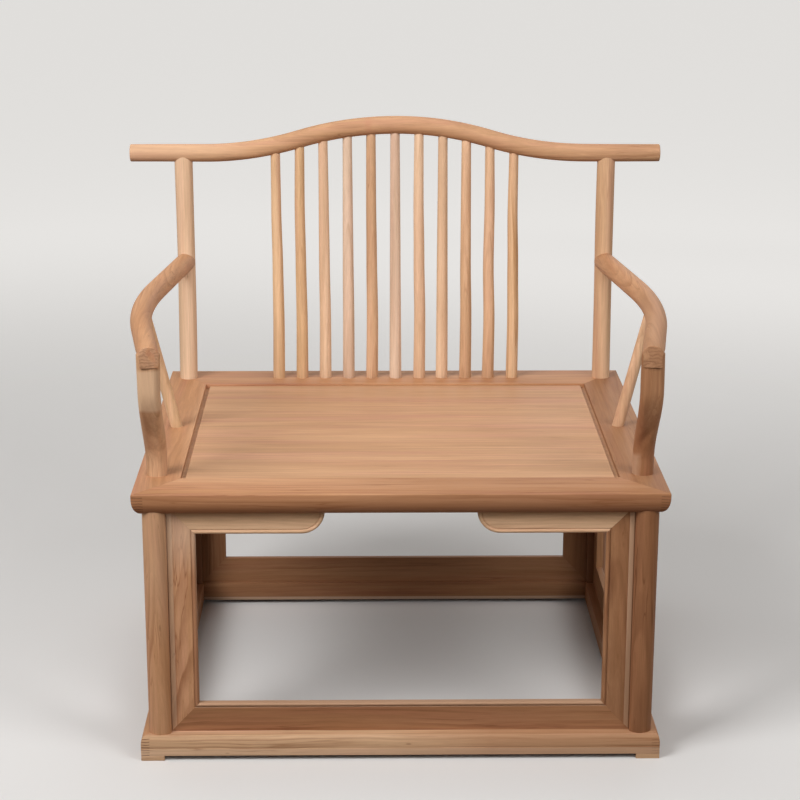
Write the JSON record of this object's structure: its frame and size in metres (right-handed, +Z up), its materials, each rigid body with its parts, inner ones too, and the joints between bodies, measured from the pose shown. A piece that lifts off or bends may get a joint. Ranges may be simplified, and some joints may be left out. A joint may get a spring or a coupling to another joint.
{
  "type": "meditation chair",
  "caption": "Wide low-armed wooden meditation chair with a spindle comb back, camel-hump top rail, bowed arms, panelled seat and a lined frame base.",
  "frame": {"origin": "on the floor under the middle of the seat, at the middle of the bottom of the bounding box", "axes": "+X across the chair, to the right seen from the front; +Y towards the back, so the sitter faces -Y; +Z up"},
  "size_m": [0.917, 0.72, 0.8939],
  "materials": {
    "pale_wood": "planed, unfinished",
    "warm_wood": "planed, unfinished",
    "deep_wood": "planed, unfinished"
  },
  "bodies": {
    "root": {"base_rail_front": "warm_wood", "base_rail_back": "warm_wood", "base_rail_left": "deep_wood", "base_rail_right": "deep_wood", "foot_front_left": "deep_wood", "foot_front_right": "deep_wood", "foot_back_left": "deep_wood", "foot_back_right": "deep_wood", "leg_front_left": "warm_wood", "leg_front_right": "warm_wood", "rear_post_left": "pale_wood", "rear_post_right": "pale_wood", "stile_front_left": "warm_wood", "stile_front_right": "warm_wood", "strip_front": "warm_wood", "apron_front_left": "pale_wood", "apron_front_right": "pale_wood", "stile_back_left": "warm_wood", "stile_back_right": "warm_wood", "strip_back": "warm_wood", "apron_back_left": "pale_wood", "apron_back_right": "pale_wood", "stile_left_front": "deep_wood", "stile_left_back": "deep_wood", "strip_left": "deep_wood", "apron_left_front": "pale_wood", "apron_left_back": "pale_wood", "stile_right_front": "deep_wood", "stile_right_back": "deep_wood", "strip_right": "deep_wood", "apron_right_front": "pale_wood", "apron_right_back": "pale_wood", "seat_rail_front": "warm_wood", "seat_rail_back": "warm_wood", "seat_rail_left": "deep_wood", "seat_rail_right": "deep_wood", "seat_panel": "pale_wood", "batten_left": "deep_wood", "batten_right": "deep_wood", "spindle_1": "pale_wood", "spindle_2": "warm_wood", "spindle_3": "deep_wood", "spindle_4": "pale_wood", "spindle_5": "warm_wood", "spindle_6": "deep_wood", "spindle_7": "pale_wood", "spindle_8": "warm_wood", "spindle_9": "deep_wood", "spindle_10": "pale_wood", "spindle_11": "warm_wood", "top_rail": "warm_wood", "arm_left": "warm_wood", "arm_right": "warm_wood", "front_post_left": "pale_wood", "front_post_right": "pale_wood", "brace_left": "warm_wood", "brace_right": "warm_wood"}
  },
  "joints": []
}
